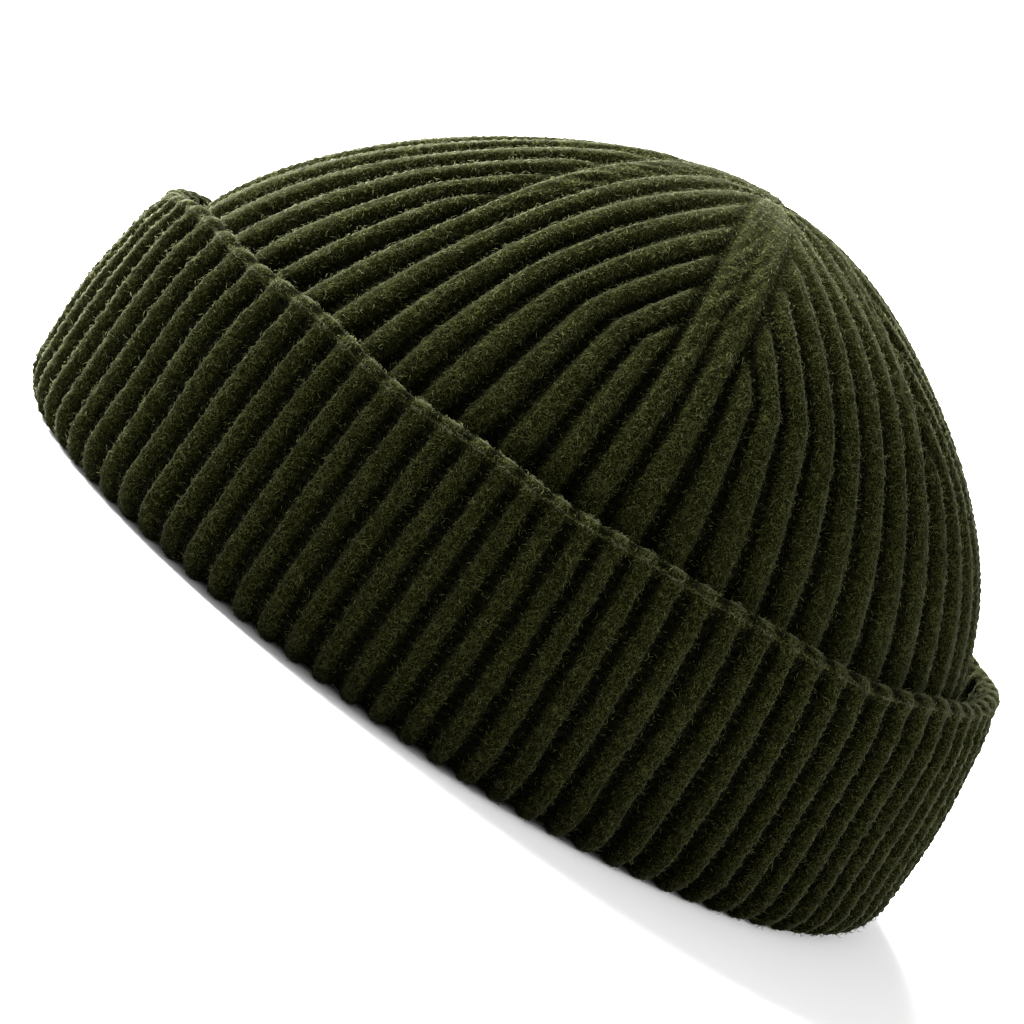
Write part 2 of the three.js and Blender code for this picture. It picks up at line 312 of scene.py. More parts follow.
def build_cuff(knit):
    """The turned-up cuff: its section carried round the plan, sunk between the ribs."""
    inset, height, strength, turned, draw = cuff_section(knit)
    course = running_length(inset, height) / knit.stitch_height
    edge_height = CUFF_HIGH[2] - EDGE_LINE_DROP * wall_thickness(knit)
    edge_inset = np.interp(edge_height, height[:height.argmax()], inset[:height.argmax()])
    out_inset, out_height = loop_normals(inset + knit.cuff_draw_sides * draw, height)
    columns = knit.cuff_ribs * knit.columns_per_rib
    share = np.arange(columns) / columns
    share_grid, height_grid = np.meshgrid(share, height / CUFF_HIGH[2])
    half_length, half_width = half_sizes(CUFF_LOW, CUFF_HIGH)
    sway = knit.sway * ripple(share_grid, height_grid, seed=11, around=(5, 17), along=0.6)
    sway = sway / knit.cuff_ribs
    turn = girth_turn(share_grid + sway * smooth(0.0, 0.3, height_grid), half_length, half_width)
    across = np.mod(share_grid * knit.cuff_ribs, 1.0)
    jitter = ROW_JITTER * ripple(share_grid, height_grid, seed=5, around=(20, 60), along=3)
    rows = course[:, None] + jitter
    front = rib_relief(across, rows, knit.cuff_rib_share, knit)
    back = rib_relief(np.mod(across + 0.5, 1.0), rows, knit.cuff_rib_share, knit)
    lumps = knit.lumps * ripple(share_grid, height_grid, seed=43, around=(90, 240), along=20, waves=10)
    relief = mix(front, back, turned[:, None]) + lumps
    uneven = 1 + CUFF_UNEVEN * ripple(share_grid, height_grid, seed=7, around=(9, 30), along=2)
    sunk = (1 - relief) * knit.cuff_rib_depth * strength[:, None] * uneven
    swell = knit.swell * ripple(share_grid, height_grid, seed=3) * smooth(0.1, 0.5, height_grid)
    drawn = mix(knit.cuff_draw_sides, knit.cuff_draw_ends, np.cos(TAU * turn) ** 2)
    total_inset = inset[:, None] + drawn * draw[:, None] - out_inset[:, None] * sunk + swell
    lift = knit.edge_wave * ripple(share_grid, 0 * height_grid, seed=21, around=(3, 14))
    z = height[:, None] - out_height[:, None] * sunk
    z = z + lift * smooth(0.6, 1.0, height_grid)
    offset = np.clip(np.abs(share_grid - knit.dip_turn) / knit.dip_reach, 0, 1)
    climb = np.clip((height[:, None] - knit.fold_radius) / (CUFF_HIGH[2] - knit.fold_radius), 0, 1)
    z = z - knit.dip_depth * np.cos(offset * np.pi / 2) ** 2 * climb ** 1.5
    x, y = plan_point(turn, half_length - total_inset, half_width - total_inset)
    points = np.stack([x, y, np.maximum(z, 0)], axis=-1)
    index = np.arange(points[..., 0].size).reshape(points.shape[:2])
    quads, tris = grid_faces(index, closed_rows=True)
    away = np.hypot(inset - edge_inset, height - edge_height)[:, None]
    chain = 1 - smooth(EDGE_CHAIN["full"], EDGE_CHAIN["gone"], away)
    tufts = 1 - smooth(EDGE_TUFTS["full"], EDGE_TUFTS["gone"], away)
    tufts = EDGE_TUFTS["share"] * tufts * np.clip(front, 0, 1)
    relief = mix(relief, EDGE_RELIEF, np.maximum(chain, tufts))
    obj = new_mesh("cuff_knit", points.reshape(-1, 3), quads, tris, relief.ravel())
    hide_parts("cuff")
    return obj


def dome_section(turn, climb):
    """The dome's girth share and rise share at a climb from 0 at its foot to 1 at its apex:
    cosine to the power 2/a, and sine to the power 2/b where b is larger towards the back."""
    angle = climb * np.pi / 2
    power = TOP_EXPONENT * (1 + RISE_LEAN * np.cos(TAU * turn))
    return np.cos(angle) ** (2 / SIDE_EXPONENT), np.sin(angle) ** (2 / power)


def crown_sizes(knit):
    """The dome's half length, half width, foot height and rise."""
    half_length, half_width = half_sizes(CUFF_LOW, CUFF_HIGH)
    seat = wall_thickness(knit) + knit.gap
    half_length -= seat + knit.dome_draw_ends
    half_width -= seat + knit.dome_draw_sides
    return half_length, half_width, knit.dome_foot, CROWN_HIGH[2] - knit.dome_foot


def crown_surface(turn, climb, depth, knit):
    """A point of the crown. Below climb 0 its wall runs straight down to the seat at climb -1;
    above it the dome closes to the apex at 1. Depth is measured square to the surface, inwards."""
    half_length, half_width, foot, rise_height = crown_sizes(knit)
    above = np.clip(climb, 0, 1)
    girth, rise = dome_section(turn, above)
    step = 0.01
    girth_low, rise_low = dome_section(turn, np.clip(above - step, 0, 1))
    girth_high, rise_high = dome_section(turn, np.clip(above + step, 0, 1))
    inwards = (rise_high - rise_low) * rise_height
    down = (girth_low - girth_high) * (half_length + half_width) / 2
    size = np.hypot(inwards, down)
    wall = np.clip(-climb, 0, 1)
    inset = depth * mix(inwards / size, 1.0, smooth(0, 0.1, wall))
    drop = depth * mix(down / size, 0.0, smooth(0, 0.1, wall))
    half_length = half_length * girth - inset + knit.dome_draw_ends * wall
    half_width = half_width * girth - inset + knit.dome_draw_sides * wall
    x, y = plan_point(turn, np.maximum(half_length, 0), np.maximum(half_width, 0))
    y = y + knit.gather_back * rise ** GATHER_EXPONENT
    z = foot + rise * rise_height - drop - (foot - CROWN_LOW[2]) * wall
    return np.stack(np.broadcast_arrays(x, y, z), axis=-1)


def crown_rows(knit, step, wall_rows):
    """Climbs of the crown's rows: a few down its hidden wall, then even steps up the dome."""
    half_length, half_width, foot, rise_height = crown_sizes(knit)
    fine = np.linspace(0, 1, 2001)
    girth, rise = dome_section(0.25, fine)
    length = running_length((half_length + half_width) / 2 * girth, rise_height * rise)
    count = int(length[-1] / step)
    even = np.interp(np.linspace(0, length[-1] * (1 - 0.4 / count), count), length, fine)
    wall = -np.linspace(1, 0, wall_rows, endpoint=False) ** 0.8
    return np.concatenate([wall, even]), np.concatenate([wall * (foot - CROWN_LOW[2]),
                                                         np.interp(even, fine, length)])


def gore_columns(climb, knit):
    """Where each column of the crown stands at each row. In each round every half gore loses the
    rib beside its spine rib: its other columns keep their distance in ribs from its far end, the
    spine rib moves up to them, and the lost rib's columns end against it. Returns the columns'
    shares of the girth, their places in ribs, the room left beside the spine rib, the number of
    the column that stands in for each one, which is its own until it ends, and how far over the
    spine rib each column lies towards the line."""
    per_rib = knit.columns_per_rib
    ribs = np.array([gore["ribs"] for gore in HALF_GORES])
    first = np.cumsum(ribs) - ribs
    number = np.arange(CROWN_RIBS * per_rib)
    gore = np.repeat(np.arange(len(ribs)), ribs * per_rib)
    last = np.array([half["spine_last"] for half in HALF_GORES])[gore]
    size = ribs[gore]
    place = number / per_rib - first[gore]
    anchored = np.where(last, place, size - place)
    girth = dome_section(0.25, np.clip(climb, 0, 1))[0][:, None]
    lost = np.maximum((knit.decrease_start - girth) / knit.decrease_pace, 0)
    width = np.maximum(ribs - 1 - lost, 0) + 1
    edge = width[:, gore] - 1
    spine = np.broadcast_to(anchored >= size - 1, edge.shape)
    ended = ~spine & (anchored > edge - 0.5 / per_rib)
    across = np.where(spine, edge + anchored - size + 1, np.where(ended, edge, anchored))
    across = np.where(last, across, width[:, gore] - across)
    share = ((np.cumsum(width, axis=1) - width)[:, gore] + across) / width.sum(axis=1)[:, None]
    spine_column = (first[gore] + np.where(last, size - 1, 1)) * per_rib
    stand_in = np.where(ended, spine_column, number)
    room = np.where(spine, 1.0, np.clip(edge - anchored, 0, 1))
    beside_line = np.clip(anchored - size + 1, 0, 1)
    return share, place, room, stand_in, beside_line


def crown_layer(knit, step, wall_rows, inside):
    """One face of the crown, outside or inside, as points, relief and vertex stand-ins."""
    climb, length = crown_rows(knit, step, wall_rows)
    share, place, room, stand_in, beside_line = gore_columns(climb, knit)
    half_length, half_width = crown_sizes(knit)[:2]
    climbs = np.broadcast_to(climb[:, None], share.shape)
    sway = knit.sway * ripple(share, climbs, seed=31, around=(5, 15), along=1.2) / CROWN_RIBS
    share = share + sway * (1 - smooth(0.1, 0.4, climbs))
    turn = girth_turn(share, half_length, half_width)
    across = np.mod(place + (0.5 if inside else 0.0), 1.0)
    jitter = ROW_JITTER * ripple(share, climbs, seed=35, around=(20, 60), along=4)
    course = length[:, None] / knit.stitch_height + jitter
    lumps = knit.lumps * ripple(share, climbs, seed=41, around=(90, 220), along=40, waves=10)
    relief = rib_relief(across, course, knit.crown_rib_share, knit) * smooth(-0.05, 0.45, room)
    filled = smooth(0.1, 0.6, beside_line) * smooth(0.3, 0.7, climbs)
    felt = knit.felting * ripple(share, climbs, seed=45, around=(40, 100), along=22, waves=8)
    relief = mix(relief, SPINE_FELT["relief"] + felt, SPINE_FELT["share"] * filled) + lumps
    tip = smooth(TIP_FLATTENING["start"], TIP_FLATTENING["end"], climbs)
    tip = 1 - TIP_FLATTENING["share"] * tip
    uneven = 1 + CROWN_UNEVEN * ripple(share, climbs, seed=37, around=(7, 23), along=2)
    showing = smooth(-0.5, -0.15, climbs) if not inside else 1.0
    sunk = (1 - relief * showing) * knit.crown_rib_depth * tip * uneven
    swell = knit.swell * ripple(share, climbs, seed=33) * smooth(-0.2, 0.2, climbs)
    swell = swell * (1 - smooth(0.8, 1.0, climbs))
    dimple = knit.tip_dimple * smooth(0.93, 1.0, climbs)
    if inside:
        depth = knit.crown_wall - 0.4 * sunk + swell + dimple
    else:
        depth = sunk + swell + dimple
    points = crown_surface(turn, climbs, depth, knit)
    index = np.arange(share.size).reshape(share.shape)
    index = np.take_along_axis(index, stand_in, axis=1)
    # Painted valley shade lessens towards the tip as the relief attribute nears the given relief.
    felted = TIP_VALLEY_SHADE["share"] * smooth(TIP_VALLEY_SHADE["start"], TIP_VALLEY_SHADE["end"], climbs)
    return points, mix(relief, TIP_VALLEY_SHADE["relief"], felted) * showing, index


def build_crown(knit):
    """The ribbed dome: an outer and an inner face joined at the seat and closed at the apex."""
    outer, outer_relief, outer_index = crown_layer(knit, knit.row_step, 7, inside=False)
    inner, inner_relief, inner_index = crown_layer(knit, knit.inner_step, 5, inside=True)
    columns = outer.shape[1]
    outer_count = outer[..., 0].size
    inner_index = inner_index + outer_count
    points = np.concatenate([outer.reshape(-1, 3), inner.reshape(-1, 3)])
    relief = np.concatenate([outer_relief.ravel(), inner_relief.ravel()])
    outer_tip, inner_tip = len(points), len(points) + 1
    tips = np.stack([outer[-1].mean(axis=0), inner[-1].mean(axis=0)])
    points = np.concatenate([points, tips])
    relief = np.concatenate([relief, [0.5, 0.5]])
    tip_rows = (np.full(columns, outer_tip), np.full(columns, inner_tip))
    whole = np.concatenate([[tip_rows[1]], inner_index[::-1], outer_index, [tip_rows[0]]])
    quads, tris = grid_faces(whole, closed_rows=False)
    obj = new_mesh("crown_knit", points, quads, tris, relief)
    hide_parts("crown")
    return obj


def nap_fibres(source, name, count, seed, keep, nap, stretch):
    """Loose wool fibres on a knit: roots spread evenly over its area, more on the rib tops and
    most on the bound edge. Each fibre is a bent spindle of six faces from its root over a ring of
    three points to its tip, leaning along the cloth in a random direction."""
    rng = np.random.default_rng(seed)
    mesh = source.data
    mesh.calc_loop_triangles()
    corners = np.empty(len(mesh.loop_triangles) * 3, dtype=np.int32)
    mesh.loop_triangles.foreach_get("vertices", corners)
    corners = corners.reshape(-1, 3)
    points = np.empty(len(mesh.vertices) * 3, dtype=np.float32)
    mesh.vertices.foreach_get("co", points)
    points = points.reshape(-1, 3).astype(float)
    relief = np.empty(len(mesh.vertices), dtype=np.float32)
    mesh.attributes["relief"].data.foreach_get("value", relief)
    a, b, c = (points[corners[:, i]] for i in range(3))
    cross = np.cross(b - a, c - a)
    area = np.linalg.norm(cross, axis=1)
    normal = cross / np.maximum(area, 1e-12)[:, None]
    middle = (a + b + c) / 3
    raised = relief[corners].mean(axis=1)
    on_edge = raised > mix(1, EDGE_RELIEF, 0.5)
    wanted = NAP_WEIGHTS["everywhere"] + np.clip(raised, 0, 1) + NAP_WEIGHTS["edge"] * on_edge
    weight = area * keep(middle, normal) * wanted
    chosen = rng.choice(len(corners), size=count, p=weight / weight.sum())
    u, v = rng.random(count), rng.random(count)
    over = u + v > 1
    u[over], v[over] = 1 - u[over], 1 - v[over]
    root = a[chosen] + u[:, None] * (b - a)[chosen] + v[:, None] * (c - a)[chosen]
    up = normal[chosen]
    along = np.cross(up, rng.normal(size=(count, 3)))
    along /= np.linalg.norm(along, axis=1)[:, None]
    turn = rng.uniform(*NAP_SPREAD["turn"], count)[:, None]
    later = along * np.cos(turn) + np.cross(up, along) * np.sin(turn)
    length = nap.length * stretch * rng.uniform(*NAP_SPREAD["length"], count)[:, None]
    lift = nap.lift * rng.uniform(*NAP_SPREAD["lift"], count)[:, None]
    knee = root + length * (0.5 * along + lift * up)
    tip_lift = rng.uniform(*NAP_SPREAD["tip"], count)[:, None] * lift
    tip = knee + length * (0.55 * later + tip_lift * up)
    root = root - 0.15 * length * up
    side = np.cross(along, up)
    ring = []
    for angle in (0, TAU / 3, 2 * TAU / 3):
        ring.append(knee + nap.radius * (np.cos(angle) * up + np.sin(angle) * side))
    fibres = np.stack([root, *ring, tip], axis=1)
    fibres[..., 2] = np.maximum(fibres[..., 2], 0.0001)
    base = np.arange(count)[:, None, None] * 5
    shape = np.array([[0, 1, 2], [0, 2, 3], [0, 3, 1], [4, 2, 1], [4, 3, 2], [4, 1, 3]])
    tris = (base + shape[None]).reshape(-1, 3)
    tone = np.repeat(rng.random(count), 5)
    quads = np.empty((0, 4), dtype=int)
    return new_mesh(name, fibres.reshape(-1, 3), quads, tris, tone)


def new_group(name, sockets_in, sockets_out):
    """An empty shader node group with the named inputs and outputs."""
    group = bpy.data.node_groups.new(name, "ShaderNodeTree")
    for label, kind, value in sockets_in:
        socket = group.interface.new_socket(label, in_out="INPUT", socket_type=kind)
        socket.default_value = value
    for label, kind in sockets_out:
        group.interface.new_socket(label, in_out="OUTPUT", socket_type=kind)
    return group, group.nodes.new("NodeGroupInput"), group.nodes.new("NodeGroupOutput")


def add_node(tree, kind, **settings):
    """Adds a node. Settings that name an input fill it, and the others are the node's own."""
    node = tree.nodes.new(kind)
    for key, value in settings.items():
        if key in node.inputs:
            node.inputs[key].default_value = value
        else:
            setattr(node, key, value)
    return node


def math_node(tree, operation, first, second):
    """A math node. Each operand is a number or an output socket."""
    node = tree.nodes.new("ShaderNodeMath")
    node.operation = operation
    for socket, value in zip(node.inputs, (first, second)):
        if isinstance(value, (int, float)):
            socket.default_value = value
        else:
            tree.links.new(value, socket)
    return node.outputs[0]


def mix_colours(tree, factor, first, second):
    """A colour mix node. Each colour is a socket."""
    node = tree.nodes.new("ShaderNodeMix")
    node.data_type = "RGBA"
    tree.links.new(factor, node.inputs["Factor"])
    tree.links.new(first, node.inputs["A"])
    tree.links.new(second, node.inputs["B"])
    return node.outputs["Result"]


def strand_group():
    """One layer of fine curling strands: 1 where noise on object coordinates crosses its middle
    value and falling to 0 beside that line, so that its contours read as loose fibres."""
    group, inputs, outputs = new_group(
        "wool_strands",
        [("Scale", "NodeSocketFloat", 900.0),
         ("Seed", "NodeSocketFloat", 0.0),
         ("Fineness", "NodeSocketFloat", 12.0)],
        [("Strand", "NodeSocketFloat")],
    )
    place = group.nodes.new("ShaderNodeTexCoord").outputs["Object"]
    noise = add_node(group, "ShaderNodeTexNoise", noise_dimensions="4D", Detail=1.0, Distortion=1.2)
    group.links.new(place, noise.inputs["Vector"])
    group.links.new(inputs.outputs["Scale"], noise.inputs["Scale"])
    group.links.new(inputs.outputs["Seed"], noise.inputs["W"])
    offset = math_node(group, "ABSOLUTE", math_node(group, "SUBTRACT", noise.outputs["Fac"], 0.5), 0)
    slope = math_node(group, "MULTIPLY", offset, inputs.outputs["Fineness"])
    strand = math_node(group, "MAXIMUM", math_node(group, "SUBTRACT", 1.0, slope), 0.0)
    group.links.new(strand, outputs.inputs["Strand"])
    return group


def wool_group():
    """Wool cloth: a dark ground under three layers of lighter strands that thin out in patches,
    with the bound edge lighter where the relief is over 1, painted shade that darkens the
    valleys where the relief is low, and the height of the strands and of the felt under them."""
    group, inputs, outputs = new_group(
        "wool_cloth",
        [("Base", "NodeSocketColor", (0.005, 0.005, 0.002, 1)),
         ("Light", "NodeSocketColor", (0.05, 0.05, 0.03, 1)),
         ("Painted valley shade", "NodeSocketColor", (0.001, 0.001, 0.0005, 1)),
         ("Edge", "NodeSocketColor", (0.07, 0.07, 0.04, 1)),
         ("Relief", "NodeSocketFloat", 1.0)],
        [("Color", "NodeSocketColor"), ("Height", "NodeSocketFloat")],
    )
    link = group.links.new
    strands = strand_group()
    layers = []
    for layer in STRAND_LAYERS:
        node = add_node(group, "ShaderNodeGroup", node_tree=strands)
        node.inputs["Scale"].default_value = layer["cells_per_metre"]
        node.inputs["Seed"].default_value = layer["seed"]
        node.inputs["Fineness"].default_value = layer["fineness"]
        layers.append(node.outputs["Strand"])
    strand = math_node(group, "MAXIMUM", math_node(group, "MAXIMUM", layers[0], layers[1]), layers[2])
    place = group.nodes.new("ShaderNodeTexCoord").outputs["Object"]
    felt = add_node(group, "ShaderNodeTexNoise", Scale=FELT_SCALE, Detail=2.0)
    link(place, felt.inputs["Vector"])
    patch = add_node(group, "ShaderNodeMapRange", interpolation_type="SMOOTHSTEP")
    patch.inputs["From Min"].default_value = 0.3
    patch.inputs["From Max"].default_value = 0.68
    patch.inputs["To Min"].default_value = 0.6
    link(felt.outputs["Fac"], patch.inputs["Value"])
    bound = add_node(group, "ShaderNodeMapRange")
    bound.inputs["From Min"].default_value = 1.1
    bound.inputs["From Max"].default_value = EDGE_RELIEF
    bound.inputs["To Max"].default_value = 0.75
    link(inputs.outputs["Relief"], bound.inputs["Value"])
    lighter = math_node(group, "MULTIPLY", strand, patch.outputs["Result"])
    lit = math_node(group, "ADD", strand, EDGE_GROUND)
    chain = math_node(group, "MULTIPLY", bound.outputs["Result"], lit)
    cloth = mix_colours(group, lighter, inputs.outputs["Base"], inputs.outputs["Light"])
    cloth = mix_colours(group, chain, cloth, inputs.outputs["Edge"])
    # Painted shade: the colour darkens towards the valley shade where the relief is low, between the
    # ribs.
    shade = add_node(group, "ShaderNodeMapRange", interpolation_type="SMOOTHSTEP")
    shade.inputs["From Min"].default_value = 0.0
    shade.inputs["From Max"].default_value = 0.75
    link(inputs.outputs["Relief"], shade.inputs["Value"])
    link(mix_colours(group, shade.outputs["Result"], inputs.outputs["Painted valley shade"], cloth),
         outputs.inputs["Color"])
    raised = math_node(group, "MULTIPLY", felt.outputs["Fac"], FELT_HEIGHT)
    height = math_node(group, "ADD", strand, raised)
    link(height, outputs.inputs["Height"])
    return group


def wool_material(name, colours, group, sheen, bump):
    """Brushed wool: a rough Principled surface with sheen, coloured and raised by the group, with
    painted sheen: its colour is paler where its fibres are seen from the side."""
    material = bpy.data.materials.new(name)
    material.use_nodes = True
    tree = material.node_tree
    tree.nodes.clear()
    shader = add_node(tree, "ShaderNodeBsdfPrincipled")
    shader.inputs["Roughness"].default_value = 0.95
    shader.inputs["Specular IOR Level"].default_value = 0.0
    shader.inputs["Sheen Weight"].default_value = sheen
    shader.inputs["Sheen Roughness"].default_value = 0.38
    shader.inputs["Sheen Tint"].default_value = (*colours.sheen, 1)
    cloth = tree.nodes.new("ShaderNodeGroup")
    cloth.node_tree = group
    cloth.inputs["Base"].default_value = (*colours.base, 1)
    cloth.inputs["Light"].default_value = (*colours.light, 1)
    # The valleys' painted shade.
    cloth.inputs["Painted valley shade"].default_value = (*colours.dark, 1)
    cloth.inputs["Edge"].default_value = (*colours.edge, 1)
    relief = add_node(tree, "ShaderNodeAttribute", attribute_name="relief")
    tree.links.new(relief.outputs["Fac"], cloth.inputs["Relief"])
    # Painted sheen: the colour is mixed towards a paler one where the surface is seen from the side,
    # on the rib tops.
    facing = add_node(tree, "ShaderNodeLayerWeight", Blend=0.5).outputs["Facing"]
    sideways = math_node(tree, "POWER", facing, PAINTED_SHEEN["facing_power"])
    on_ribs = math_node(tree, "POWER", relief.outputs["Fac"], PAINTED_SHEEN["relief_power"])
    grazing = math_node(tree, "MULTIPLY", sideways, on_ribs)
    painted_sheen = tree.nodes.new("ShaderNodeRGB")
    painted_sheen.outputs[0].default_value = (*colours.painted_sheen, 1)
    uneven = math_node(tree, "MULTIPLY", cloth.outputs["Height"], PAINTED_SHEEN["strength"])
    with_painted_sheen = mix_colours(tree, math_node(tree, "MULTIPLY", grazing, uneven),
                        cloth.outputs["Color"], painted_sheen.outputs[0])
    tree.links.new(with_painted_sheen, shader.inputs["Base Color"])
    raised = add_node(tree, "ShaderNodeBump", Strength=bump, Distance=0.0006)
    tree.links.new(cloth.outputs["Height"], raised.inputs["Height"])
    tree.links.new(raised.outputs["Normal"], shader.inputs["Normal"])
    output = tree.nodes.new("ShaderNodeOutputMaterial")
    tree.links.new(shader.outputs["BSDF"], output.inputs["Surface"])
    return material


def fibre_material(name, colours, sheen):
    """Loose fibres: the yarn's lighter colour, varied from fibre to fibre by their attribute."""
    material = bpy.data.materials.new(name)
    material.use_nodes = True
    tree = material.node_tree
    tree.nodes.clear()
    shader = add_node(tree, "ShaderNodeBsdfPrincipled")
    shader.inputs["Roughness"].default_value = 0.85
    shader.inputs["Specular IOR Level"].default_value = 0.05
    shader.inputs["Sheen Weight"].default_value = sheen
    shader.inputs["Sheen Tint"].default_value = (*colours.sheen, 1)
    tone = add_node(tree, "ShaderNodeAttribute", attribute_name="relief")
    low, high = tree.nodes.new("ShaderNodeRGB"), tree.nodes.new("ShaderNodeRGB")
    low.outputs[0].default_value = (*colours.base, 1)
    high.outputs[0].default_value = (*colours.fibre, 1)
    colour = mix_colours(tree, tone.outputs["Fac"], low.outputs[0], high.outputs[0])
    tree.links.new(colour, shader.inputs["Base Color"])
    output = tree.nodes.new("ShaderNodeOutputMaterial")
    tree.links.new(shader.outputs["BSDF"], output.inputs["Surface"])
    return material


def metres(name, about, default):
    """A property for a length in metres."""
    return FloatProperty(name=name, description=about, default=default, unit="LENGTH", precision=5)


def fraction(name, about, default):
    """A property for a share."""
    return FloatProperty(name=name, description=about, default=default, subtype="FACTOR")


def tint(name, about, default):
    """A property for a linear colour."""
    return FloatVectorProperty(
        name=name, description=about, default=default, subtype="COLOR", size=3)


class BeanieKnit(bpy.types.PropertyGroup):
    """Sizes of the knit."""

    cuff_ribs: IntProperty(name="Cuff ribs", description="Ribs round the cuff", default=84, min=8)
    columns_per_rib: IntProperty(
        name="Columns per rib", description="Mesh columns over one rib", default=10, min=4)
    decrease_start: fraction(
        "Decrease start", "Share of the dome's girth left where ribs begin to end", 0.73)
    decrease_pace: fraction(
        "Decrease pace", "Share of the girth that one round of lost ribs takes", 0.115)
    stitch_height: metres("Stitch height", "Height of one stitch row", 0.0019)
    row_step: metres("Row step", "Mesh rows on the faces that show", 0.00072)
    inner_step: metres("Inner step", "Mesh rows inside the crown", 0.0035)
    cuff_rib_depth: metres("Cuff rib depth", "Depth between the cuff's ribs", 0.0026)
    crown_rib_depth: metres("Crown rib depth", "Depth between the crown's ribs", 0.0023)
    cuff_rib_share: fraction("Cuff rib share", "Share of the pitch that a cuff rib fills", 0.63)
    crown_rib_share: fraction("Crown rib share", "Share of the pitch that a crown rib fills", 0.74)
    arch: FloatProperty(
        name="Arch", description="Power of a rib's arch: lower is squarer, higher is more pointed",
        default=0.65)
    groove: fraction("Groove", "Depth of the line down a rib, as a share of the rib's depth", 0.12)
    stitch_relief: fraction(
        "Stitch relief", "Height of the stitch legs, as a share of rib depth", 0.08)
    purl_relief: fraction(
        "Purl relief", "Height of the bumps in the valleys, as a share of depth", 0.22)
    sway: FloatProperty(
        name="Sway", description="How far ribs wander sideways, in ribs", default=0.06)
    swell: metres("Swell", "Soft unevenness of the knit", 0.0006)
    edge_wave: metres("Edge wave", "Waviness of the cuff's top edge", 0.0006)
    dip_turn: FloatProperty(
        name="Dip turn", description="Where the cuff's top edge dips, as a turn round the hat",
        default=0.56)
    dip_reach: FloatProperty(
        name="Dip reach", description="How far the dip reaches to each side, as a turn", default=0.14)
    dip_depth: metres("Dip depth", "Depth of the dip", 0.008)
    cuff_draw_sides: metres(
        "Cuff draw, sides", "How far the cuff's top edge draws in at the sides", 0.0062)
    cuff_draw_ends: metres(
        "Cuff draw, ends", "How far it draws in at the front and the back", 0.0047)
    shoulder: metres("Shoulder", "How far the cuff rounds off below its top edge", 0.0009)
    fold_radius: metres("Fold radius", "Height of the hem fold's rounded corner", 0.01)
    fold_reach: metres("Fold reach", "Depth of the hem fold's rounded corner", 0.0062)
    dome_draw_sides: metres(
        "Dome draw, sides", "How far the crown draws in from its seat to the dome", 0.0084)
    dome_draw_ends: metres("Dome draw, ends", "The same at the front and the back", 0.0079)
    dome_foot: metres("Dome foot", "Height where the dome starts to close", 0.052)
    gather_back: metres("Gather back", "How far the gather lies behind the cuff's middle", 0.0034)
    crown_wall: metres("Crown wall", "Thickness of the crown's knit", 0.0045)
    lumps: fraction("Lumps", "Unevenness from stitch to stitch, as a share of rib depth", 0.05)
    felting: fraction("Felting", "Unevenness between two spine ribs, as a share of rib depth", 0.25)
    tip_dimple: metres("Tip dimple", "How far the gathered tip sinks", 0.0012)
    gap: metres("Seat gap", "Gap between the crown and the fold under it", 0.0003)


class BeanieNap(bpy.types.PropertyGroup):
    """The loose fibres on the brushed knit."""

    length: metres("Fibre length", "Half the usual length of a fibre", 0.0013)
    lift: fraction("Fibre lift", "How steeply fibres rise", 0.26)
    radius: metres("Fibre radius", "Radius of a fibre at its middle", 0.00006)
    count: IntProperty(
        name="Fibres", description="Fibres in each layer of the crown's and the cuff's nap",
        default=25000, min=0)


class BeanieColours(bpy.types.PropertyGroup):
    """Colours of the yarn, with the painted shade of the valleys and the painted sheen."""

    base: tint("Yarn", "Main colour of the yarn", (0.0045, 0.005, 0.0011))
    light: tint("Yarn, lighter", "Lighter flecks of the yarn", (0.0415, 0.0458, 0.0115))
    # Shade painted into the valleys between the ribs.
    dark: tint("Painted shade, valleys", "Shade painted into the valleys between the ribs", (0.0007, 0.0008, 0.0003))
    edge: tint("Edge", "Paler colour along the cuff's bound edge", (0.11, 0.112, 0.07))
    # Painted sheen mixed into the colour where the surface is seen from the side.
    painted_sheen: tint("Painted sheen", "Sheen painted where the fibres are seen from the side", (0.1, 0.104, 0.068))
    fibre: tint("Fibres", "Loose fibres", (0.086, 0.092, 0.032))
    sheen: tint("Sheen", "Tint of the soft sheen", (0.6, 0.63, 0.36))


class BeanieStage(bpy.types.PropertyGroup):
    """Camera and lights."""

    azimuth: FloatProperty(
        name="Azimuth", description="Camera's turn round the hat", default=83.16)
    elevation: FloatProperty(
        name="Elevation", description="Camera's height above level", default=11.87)
    roll: FloatProperty(
        name="Roll", description="Camera's roll, which tilts the hat in the picture", default=33.93)
    distance: metres("Distance", "From the camera to its target", 0.973)
    aim_right: metres("Aim right", "Target's shift to the right", -0.00577)
    aim_height: metres("Aim height", "Target's height", 0.03353)
    focal_pixels: FloatProperty(
        name="Focal length", description="Focal length in pixels of the 1024 frame",
        default=4486.9)
    key_power: FloatProperty(name="Key", description="Key light's power", default=3900, unit="POWER")
    fill_power: FloatProperty(
        name="Fill", description="Fill light's power", default=130, unit="POWER")
    sky: FloatProperty(name="Sky", description="Strength of the white surroundings", default=0.66)


def dress(obj, material):
    """Gives a piece its material, and lets it ride on the part's one body."""
    obj.data.materials.append(material)
    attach(obj, "root")


def cloth_material():
    """The knit's material, made once."""
    colours = bpy.context.scene.beanie_colours
    found = bpy.data.materials.get("wool_knit_cloth")
    return found or wool_material("wool_knit_cloth", colours, wool_group(), sheen=0.03, bump=0.8)


def nap_material():
    """The loose fibres' material, made once."""
    colours = bpy.context.scene.beanie_colours
    found = bpy.data.materials.get("wool_fibres")
    return found or fibre_material("wool_fibres", colours, sheen=0.08)


